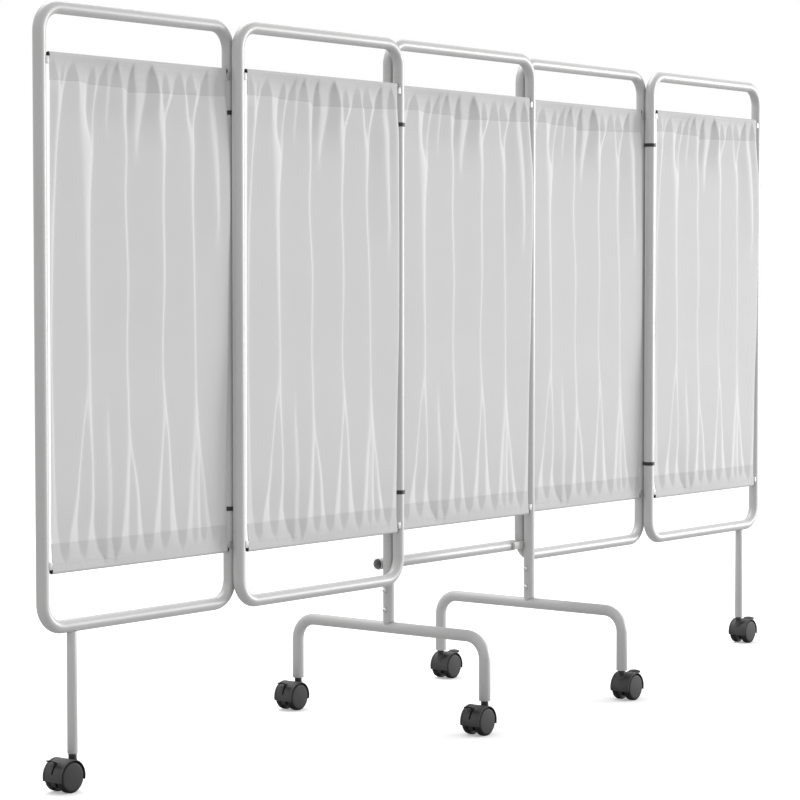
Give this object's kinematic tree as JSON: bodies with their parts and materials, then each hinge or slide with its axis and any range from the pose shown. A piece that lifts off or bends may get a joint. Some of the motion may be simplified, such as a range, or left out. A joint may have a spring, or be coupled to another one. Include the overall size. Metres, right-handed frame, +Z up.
{
  "type": "folding ward privacy screen on castors",
  "caption": "Folding ward privacy screen: curtained light grey tube panels hinged in a zigzag about a wheeled base panel.",
  "frame": {"origin": "on the floor under the middle of the base panel, at the middle of the open screen", "axes": "+Z up, +X along the open screen, -Y towards the front, where the curtains and their rods stand proud"},
  "size_m": [2.937, 0.636, 1.655],
  "materials": {
    "frame_tube": "satin light grey powder coat",
    "castor_plastic": "fine-grained dark grey moulding",
    "castor_wheel": "matt dark grey tread and disc",
    "castor_steel": "bright zinc-plated steel",
    "black_metal": "black coated steel rod",
    "black_plastic": "matt black moulding",
    "curtain_cloth": "plain white woven cloth"
  },
  "bodies": {
    "base": {"panel_3_frame": "frame_tube", "panel_3_top_rod": "black_metal", "panel_3_bottom_rod": "black_metal", "panel_3_curtain": "curtain_cloth", "cross_tube": "frame_tube", "left_foot": "frame_tube", "left_post_upper_screw": "castor_steel", "left_post_lower_screw": "castor_steel", "right_foot": "frame_tube", "right_post_upper_screw": "castor_steel", "right_post_lower_screw": "castor_steel", "hinge_2_3_top_collar": "black_plastic", "hinge_2_3_bottom_collar": "black_plastic", "hinge_3_4_top_collar": "black_plastic", "hinge_3_4_bottom_collar": "black_plastic", "castor_2_stem": "black_plastic", "castor_3_stem": "black_plastic", "castor_4_stem": "black_plastic", "castor_5_stem": "black_plastic"},
    "panel_1": {"panel_1_frame": "frame_tube", "panel_1_top_rod": "black_metal", "panel_1_bottom_rod": "black_metal", "panel_1_curtain": "curtain_cloth", "castor_1_stem": "black_plastic"},
    "panel_2": {"panel_2_frame": "frame_tube", "panel_2_top_rod": "black_metal", "panel_2_bottom_rod": "black_metal", "panel_2_curtain": "curtain_cloth", "hinge_1_2_top_collar": "black_plastic", "hinge_1_2_bottom_collar": "black_plastic"},
    "panel_4": {"panel_4_frame": "frame_tube", "panel_4_top_rod": "black_metal", "panel_4_bottom_rod": "black_metal", "panel_4_curtain": "curtain_cloth", "hinge_4_5_top_collar": "black_plastic", "hinge_4_5_bottom_collar": "black_plastic"},
    "panel_5": {"panel_5_frame": "frame_tube", "panel_5_top_rod": "black_metal", "panel_5_bottom_rod": "black_metal", "panel_5_curtain": "curtain_cloth", "castor_6_stem": "black_plastic"},
    "castor_1_swivel": {"castor_1_hood": "castor_plastic"},
    "castor_1_wheels": {"castor_1_wheels": "castor_wheel"},
    "castor_1_lever": {"castor_1_brake_lever": "black_plastic"},
    "castor_2_swivel": {"castor_2_hood": "castor_plastic"},
    "castor_2_wheels": {"castor_2_wheels": "castor_wheel"},
    "castor_2_lever": {"castor_2_brake_lever": "black_plastic"},
    "castor_3_swivel": {"castor_3_hood": "castor_plastic"},
    "castor_3_wheels": {"castor_3_wheels": "castor_wheel"},
    "castor_3_lever": {"castor_3_brake_lever": "black_plastic"},
    "castor_4_swivel": {"castor_4_hood": "castor_plastic"},
    "castor_4_wheels": {"castor_4_wheels": "castor_wheel"},
    "castor_4_lever": {"castor_4_brake_lever": "black_plastic"},
    "castor_5_swivel": {"castor_5_hood": "castor_plastic"},
    "castor_5_wheels": {"castor_5_wheels": "castor_wheel"},
    "castor_5_lever": {"castor_5_brake_lever": "black_plastic"},
    "castor_6_swivel": {"castor_6_hood": "castor_plastic"},
    "castor_6_wheels": {"castor_6_wheels": "castor_wheel"},
    "castor_6_lever": {"castor_6_brake_lever": "black_plastic"}
  },
  "joints": [
    {"name": "fold_2_3", "type": "hinge", "parent": "base", "child": "panel_2", "pos_m": [-0.2965, -0.03, 1], "axis": [0, 0, 1], "range_deg": [-10, 172]},
    {"name": "fold_1_2", "type": "hinge", "parent": "panel_2", "child": "panel_1", "pos_m": [-0.8755, 0, 1], "axis": [0, 0, -1], "range_deg": [-10, 172]},
    {"name": "fold_3_4", "type": "hinge", "parent": "base", "child": "panel_4", "pos_m": [0.2965, 0.03, 1], "axis": [0, 0, 1], "range_deg": [-10, 172]},
    {"name": "fold_4_5", "type": "hinge", "parent": "panel_4", "child": "panel_5", "pos_m": [0.8755, 0, 1], "axis": [0, 0, -1], "range_deg": [-10, 172]},
    {"name": "castor_1_swivel_turn", "type": "hinge", "parent": "panel_1", "child": "castor_1_swivel", "pos_m": [-1.3715, 0, 0.06], "axis": [0, 0, 1], "continuous": true},
    {"name": "castor_1_wheel_spin", "type": "hinge", "parent": "castor_1_swivel", "child": "castor_1_wheels", "pos_m": [-1.3965, 0, 0.034], "axis": [0, 1, 0], "continuous": true},
    {"name": "castor_1_brake_press", "type": "hinge", "parent": "castor_1_swivel", "child": "castor_1_lever", "pos_m": [-1.41657, 0, 0.05629], "axis": [0, -1, 0], "range_deg": [0, 14]},
    {"name": "castor_2_swivel_turn", "type": "hinge", "parent": "base", "child": "castor_2_swivel", "pos_m": [-0.2965, -0.289, 0.06], "axis": [0, 0, 1], "continuous": true},
    {"name": "castor_2_wheel_spin", "type": "hinge", "parent": "castor_2_swivel", "child": "castor_2_wheels", "pos_m": [-0.3215, -0.289, 0.034], "axis": [0, 1, 0], "continuous": true},
    {"name": "castor_2_brake_press", "type": "hinge", "parent": "castor_2_swivel", "child": "castor_2_lever", "pos_m": [-0.34157, -0.289, 0.05629], "axis": [0, -1, 0], "range_deg": [0, 14]},
    {"name": "castor_3_swivel_turn", "type": "hinge", "parent": "base", "child": "castor_3_swivel", "pos_m": [-0.2965, 0.289, 0.06], "axis": [0, 0, 1], "continuous": true},
    {"name": "castor_3_wheel_spin", "type": "hinge", "parent": "castor_3_swivel", "child": "castor_3_wheels", "pos_m": [-0.3215, 0.289, 0.034], "axis": [0, 1, 0], "continuous": true},
    {"name": "castor_3_brake_press", "type": "hinge", "parent": "castor_3_swivel", "child": "castor_3_lever", "pos_m": [-0.34157, 0.289, 0.05629], "axis": [0, -1, 0], "range_deg": [0, 14]},
    {"name": "castor_4_swivel_turn", "type": "hinge", "parent": "base", "child": "castor_4_swivel", "pos_m": [0.2965, -0.289, 0.06], "axis": [0, 0, 1], "continuous": true},
    {"name": "castor_4_wheel_spin", "type": "hinge", "parent": "castor_4_swivel", "child": "castor_4_wheels", "pos_m": [0.3215, -0.289, 0.034], "axis": [0, 1, 0], "continuous": true},
    {"name": "castor_4_brake_press", "type": "hinge", "parent": "castor_4_swivel", "child": "castor_4_lever", "pos_m": [0.34157, -0.289, 0.05629], "axis": [0, 1, 0], "range_deg": [0, 14]},
    {"name": "castor_5_swivel_turn", "type": "hinge", "parent": "base", "child": "castor_5_swivel", "pos_m": [0.2965, 0.289, 0.06], "axis": [0, 0, 1], "continuous": true},
    {"name": "castor_5_wheel_spin", "type": "hinge", "parent": "castor_5_swivel", "child": "castor_5_wheels", "pos_m": [0.3215, 0.289, 0.034], "axis": [0, 1, 0], "continuous": true},
    {"name": "castor_5_brake_press", "type": "hinge", "parent": "castor_5_swivel", "child": "castor_5_lever", "pos_m": [0.34157, 0.289, 0.05629], "axis": [0, 1, 0], "range_deg": [0, 14]},
    {"name": "castor_6_swivel_turn", "type": "hinge", "parent": "panel_5", "child": "castor_6_swivel", "pos_m": [1.3715, 0, 0.06], "axis": [0, 0, 1], "continuous": true},
    {"name": "castor_6_wheel_spin", "type": "hinge", "parent": "castor_6_swivel", "child": "castor_6_wheels", "pos_m": [1.3965, 0, 0.034], "axis": [0, 1, 0], "continuous": true},
    {"name": "castor_6_brake_press", "type": "hinge", "parent": "castor_6_swivel", "child": "castor_6_lever", "pos_m": [1.41657, 0, 0.05629], "axis": [0, 1, 0], "range_deg": [0, 14]}
  ]
}
